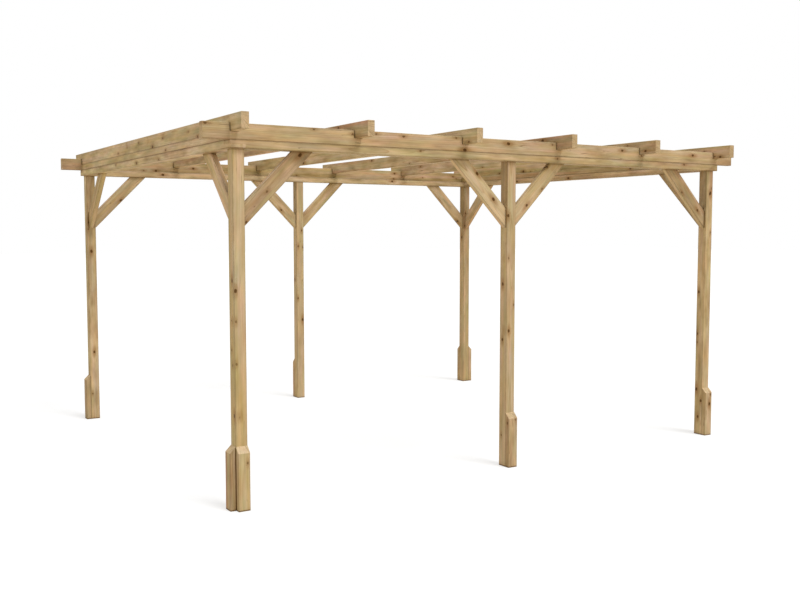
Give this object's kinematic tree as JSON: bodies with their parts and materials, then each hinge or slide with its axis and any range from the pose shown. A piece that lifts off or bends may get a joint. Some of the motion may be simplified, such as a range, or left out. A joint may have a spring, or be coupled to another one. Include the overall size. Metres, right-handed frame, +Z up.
{
  "type": "wooden pergola",
  "caption": "Free-standing flat-roofed timber pergola: square posts with knee braces and foot blocks, layered wall plates, notched beams and rafters that oversail both rows.",
  "frame": {"origin": "on the ground at the middle of the plan", "axes": "+X along the long side with the two notched beams, +Y along the rafters from the front row of posts to the back row, +Z up"},
  "size_m": [4.2, 3.51, 2.18],
  "materials": {
    "post_wood": "planed pressure-treated softwood, pale greenish tan, knotty",
    "foot_block_wood": "planed pressure-treated softwood, pale greenish tan, knotty",
    "brace_wood": "planed pressure-treated softwood, pale greenish tan, knotty",
    "rafter_wood": "planed pressure-treated softwood, pale greenish tan, knotty",
    "beam_wood": "planed pressure-treated softwood, pale greenish tan, knotty",
    "plate_wood": "planed pressure-treated softwood, pale greenish tan, knotty"
  },
  "bodies": {
    "root": {"back_beam": "beam_wood", "back_left_corner_brace": "brace_wood", "back_left_foot_block": "foot_block_wood", "back_left_post": "post_wood", "back_left_side_foot_block": "foot_block_wood", "back_middle_brace_left": "brace_wood", "back_middle_brace_right": "brace_wood", "back_middle_foot_block": "foot_block_wood", "back_middle_post": "post_wood", "back_right_corner_brace": "brace_wood", "back_right_foot_block": "foot_block_wood", "back_right_post": "post_wood", "back_right_side_foot_block": "foot_block_wood", "back_wall_plate": "plate_wood", "front_beam": "beam_wood", "front_left_corner_brace": "brace_wood", "front_left_foot_block": "foot_block_wood", "front_left_post": "post_wood", "front_left_side_foot_block": "foot_block_wood", "front_middle_brace_left": "brace_wood", "front_middle_brace_right": "brace_wood", "front_middle_foot_block": "foot_block_wood", "front_middle_post": "post_wood", "front_right_corner_brace": "brace_wood", "front_right_foot_block": "foot_block_wood", "front_right_post": "post_wood", "front_right_side_foot_block": "foot_block_wood", "front_wall_plate": "plate_wood", "left_side_back_brace": "brace_wood", "left_side_front_brace": "brace_wood", "left_upper_plate": "plate_wood", "left_wall_plate": "plate_wood", "rafter_1": "rafter_wood", "rafter_2": "rafter_wood", "rafter_3": "rafter_wood", "rafter_4": "rafter_wood", "rafter_5": "rafter_wood", "rafter_6": "rafter_wood", "right_side_back_brace": "brace_wood", "right_side_front_brace": "brace_wood", "right_upper_plate": "plate_wood", "right_wall_plate": "plate_wood"}
  },
  "joints": []
}
